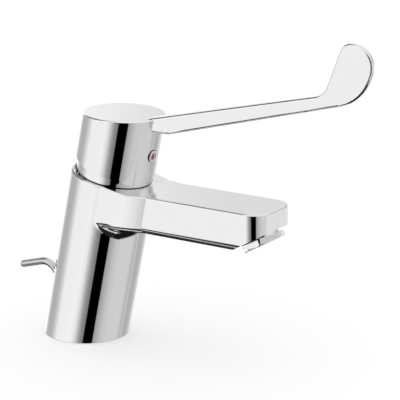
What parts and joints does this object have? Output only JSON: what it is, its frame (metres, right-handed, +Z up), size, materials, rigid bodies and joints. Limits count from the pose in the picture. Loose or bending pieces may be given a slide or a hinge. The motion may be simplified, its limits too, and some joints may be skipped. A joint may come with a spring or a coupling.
{
  "type": "basin mixer tap",
  "caption": "Single-lever basin mixer tap with a forward-leaning cylindrical body, flat spout, long lever with an upright blade, and a rear pull rod.",
  "frame": {"origin": "centre of the base on the deck plane z = 0, where the leaning body's axis meets it", "axes": "+Z up from the deck, -Y towards the spout and the user, +X to the user's right as the user faces +Y; X = 0 is the middle plane"},
  "size_m": [0.046, 0.2196, 0.1766],
  "materials": {
    "chrome": "mirror polished chrome plate",
    "satin_steel": "satin stainless steel",
    "steel": "plain turned steel",
    "brass": "machined brass",
    "rubber": "moulded black rubber",
    "cartridge_plastic": "moulded off-white acetal",
    "ceramic": "lapped ceramic",
    "white_plastic": "glossy white plastic",
    "hot_red": "glossy red inlay",
    "cold_blue": "glossy blue inlay",
    "insert_plastic": "moulded grey plastic"
  },
  "bodies": {
    "casting": {"body": "chrome", "base_seal": "rubber", "cartridge_base": "cartridge_plastic", "port_seals": "rubber", "fixed_disc": "ceramic", "cartridge_housing": "cartridge_plastic", "clamp_nut": "brass", "trim_dome": "chrome", "aerator_housing": "chrome", "aerator_insert": "insert_plastic", "aerator_washer": "rubber"},
    "turn_barrel": {"spindle_carrier": "cartridge_plastic", "spindle_pin": "steel"},
    "valve_slide": {"moving_disc": "ceramic", "disc_carrier": "cartridge_plastic"},
    "lever_arm": {"lever": "chrome", "spindle": "brass", "grub_screw": "steel", "indicator_plug": "white_plastic", "hot_mark": "hot_red", "cold_mark": "cold_blue"},
    "rod": {"pull_rod": "satin_steel"}
  },
  "joints": [
    {"name": "lever_turn", "type": "hinge", "parent": "casting", "child": "turn_barrel", "pos_m": [0, -0.02017, 0.09488], "axis": [0, -0.2079, 0.9781], "range_deg": [-50, 50]},
    {"name": "lever_lift", "type": "hinge", "parent": "turn_barrel", "child": "lever_arm", "pos_m": [0, -0.02017, 0.09488], "axis": [-1, 0, 0], "range_deg": [0, 20]},
    {"name": "valve_shift", "type": "slide", "parent": "turn_barrel", "child": "valve_slide", "axis": [0, -0.9781, -0.2079], "range_m": [0, 0.0052]},
    {"name": "rod_lift", "type": "slide", "parent": "casting", "child": "rod", "axis": [0, 0.342, 0.9397], "range_m": [0, 0.012]}
  ],
  "couplings": [
    {"joint": "valve_shift", "follows": "lever_lift", "m_per_rad": 0.0147}
  ]
}
